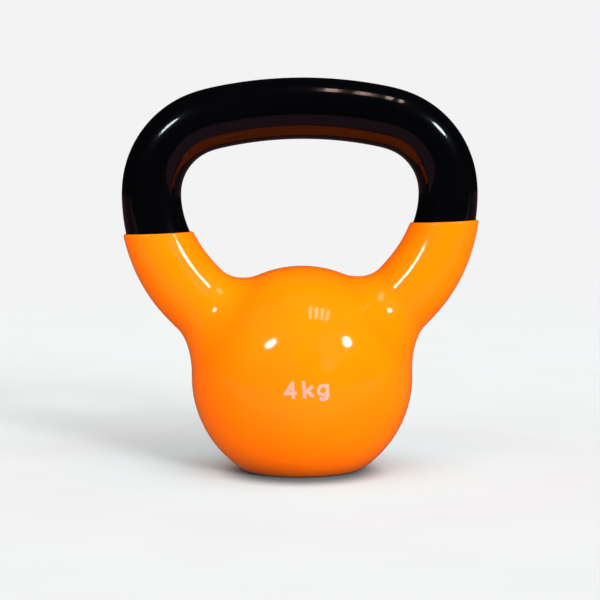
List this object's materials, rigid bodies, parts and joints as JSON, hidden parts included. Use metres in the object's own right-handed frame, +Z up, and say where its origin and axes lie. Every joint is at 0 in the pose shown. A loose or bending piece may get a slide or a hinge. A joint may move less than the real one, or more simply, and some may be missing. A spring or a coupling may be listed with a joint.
{
  "type": "kettlebell",
  "caption": "Cast-iron kettlebell with a round ball, flat base and wide arched handle, dipped in orange vinyl below a black vinyl grip.",
  "frame": {"origin": "centre of the flat base, on the surface the kettlebell stands on", "axes": "+Z up, X along the handle, -Y towards the viewer of the printed mark"},
  "size_m": [0.1555, 0.0969, 0.171],
  "materials": {
    "cast_iron": "rough as cast, wholly covered by the vinyl",
    "black_vinyl": "glossy dipped vinyl",
    "orange_vinyl": "glossy dipped vinyl",
    "mark_ink": "thin printed ink"
  },
  "bodies": {
    "root": {"iron_casting": "cast_iron", "grip_sleeve": "black_vinyl", "vinyl_jacket": "orange_vinyl", "mark_numeral_four": "mark_ink", "mark_letter_k": "mark_ink", "mark_letter_g": "mark_ink"}
  },
  "joints": []
}
